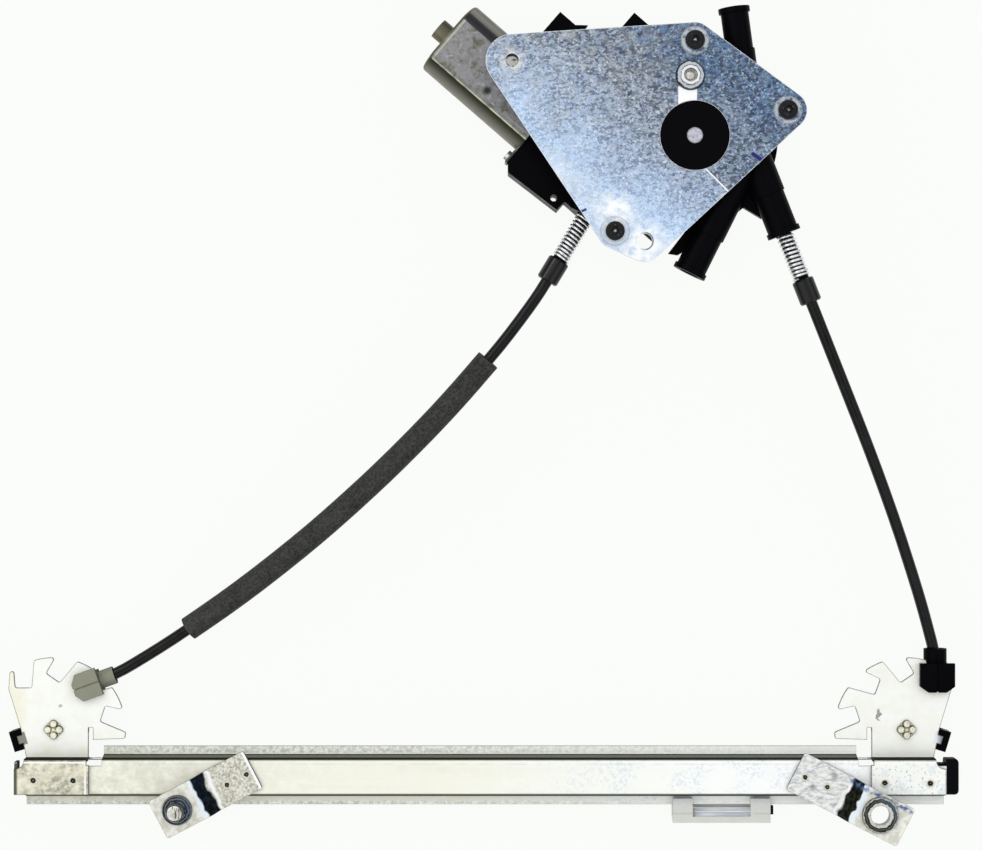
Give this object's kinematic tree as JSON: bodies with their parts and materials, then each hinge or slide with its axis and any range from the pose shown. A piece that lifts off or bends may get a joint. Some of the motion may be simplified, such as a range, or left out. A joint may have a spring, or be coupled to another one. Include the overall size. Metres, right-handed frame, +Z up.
{
  "type": "window regulator",
  "caption": "Cable-driven car window regulator: flanged rail with glass carriage, slotted end plates, sprung cable conduits, and a drum driven by a worm-gear motor.",
  "frame": {"origin": "middle of the underside of the whole unit, which lies flat on the floor", "axes": "+X along the rail towards its rubber-buffered end, +Y from the rail towards the motor, +Z up from the floor, through the motor's mounting plate"},
  "size_m": [0.4766, 0.4186, 0.0541],
  "materials": {
    "zinc_sheet": "pale zinc plate with faint spangle",
    "plate_sheet": "spangled galvanised sheet",
    "bracket_sheet": "zinc-plated pressing",
    "bright_steel": "bright zinc plate",
    "black_steel": "black phosphate",
    "spring_steel": "bright spring wire",
    "can_paint": "grey-olive passivated",
    "black_plastic": "moulded, satin",
    "taupe_plastic": "moulded, matte",
    "white_plastic": "moulded acetal, satin",
    "cream_plastic": "moulded acetal",
    "conduit_plastic": "extruded, glossy",
    "sleeve_foam": "matte braided-look sleeve",
    "rubber": "moulded rubber",
    "copper": "enamelled copper",
    "bronze": "sintered bronze",
    "lamination": "stacked lamination steel",
    "ferrite": "ground ferrite",
    "carbon": "pressed carbon",
    "brass_pin": "tinned brass"
  },
  "bodies": {
    "frame": {"rail": "zinc_sheet", "left_end_plate": "zinc_sheet", "right_end_plate": "zinc_sheet", "left_pulley_bracket": "black_plastic", "right_pulley_bracket": "black_plastic", "left_pulley_rivet": "bright_steel", "right_pulley_rivet": "bright_steel", "left_mount_bracket": "bracket_sheet", "right_mount_bracket": "bracket_sheet", "left_bracket_stud": "bright_steel", "right_bracket_bush": "bright_steel", "end_buffer": "rubber", "mounting_plate": "plate_sheet", "plate_nut": "bright_steel", "plate_screws": "black_steel", "drum_housing": "black_plastic", "gear_housing": "black_plastic", "gear_cover": "black_plastic", "cover_screws": "bright_steel", "motor_can": "can_paint", "can_bearing": "bronze", "worm_bearings": "bronze", "magnets": "ferrite", "can_screws": "bright_steel", "brushes": "carbon", "brush_springs": "bright_steel", "plug_housing": "black_plastic", "plug_pins": "brass_pin", "left_spring": "spring_steel", "right_spring": "spring_steel", "left_ferrule": "black_plastic", "right_ferrule": "black_plastic", "left_conduit": "conduit_plastic", "right_conduit": "conduit_plastic", "left_sleeve": "sleeve_foam", "left_conduit_clip": "taupe_plastic", "right_conduit_clip": "black_plastic", "rail_cable": "spring_steel", "left_drum_cable": "spring_steel", "right_drum_cable": "spring_steel"},
    "armature": {"worm_shaft": "bright_steel", "armature_core": "lamination", "armature_windings": "copper", "commutator": "copper"},
    "drum": {"cable_drum": "cream_plastic", "cable_wraps": "spring_steel", "drum_shaft": "bright_steel", "worm_wheel": "cream_plastic", "damper": "rubber", "drum_driver": "cream_plastic"},
    "pulley_left": {"left_pulley": "black_plastic"},
    "pulley_right": {"right_pulley": "black_plastic"},
    "carriage": {"carriage_slider": "white_plastic", "cable_nipples": "bright_steel", "glass_plate": "bracket_sheet", "glass_bush": "bright_steel", "carriage_buffer": "rubber"}
  },
  "joints": [
    {"name": "armature_spin", "type": "hinge", "parent": "frame", "child": "armature", "pos_m": [0.0779, 0.11198, 0.0165], "axis": [0.7547, -0.6561, 0], "range_deg": [-7277, 45565]},
    {"name": "drum_spin", "type": "hinge", "parent": "frame", "child": "drum", "pos_m": [0.10414, 0.14217, 0.0165], "axis": [0, 0, 1], "range_deg": [-651.03, 104.06]},
    {"name": "carriage_slide", "type": "slide", "parent": "frame", "child": "carriage", "axis": [1, 0, 0], "range_m": [-0.28805, 0.04605]},
    {"name": "left_pulley_spin", "type": "hinge", "parent": "frame", "child": "pulley_left", "pos_m": [-0.21566, -0.15298, 0.0075], "axis": [0, 0, 1], "range_deg": [-1085.8, 173.58]},
    {"name": "right_pulley_spin", "type": "hinge", "parent": "frame", "child": "pulley_right", "pos_m": [0.21294, -0.15298, 0.0075], "axis": [0, 0, 1], "range_deg": [-1085.8, 173.58]}
  ],
  "couplings": [
    {"joint": "drum_spin", "follows": "armature_spin", "ratio": -0.014286},
    {"joint": "carriage_slide", "follows": "armature_spin", "m_per_rad": -0.00036214},
    {"joint": "left_pulley_spin", "follows": "armature_spin", "ratio": -0.023825},
    {"joint": "right_pulley_spin", "follows": "armature_spin", "ratio": -0.023825}
  ]
}
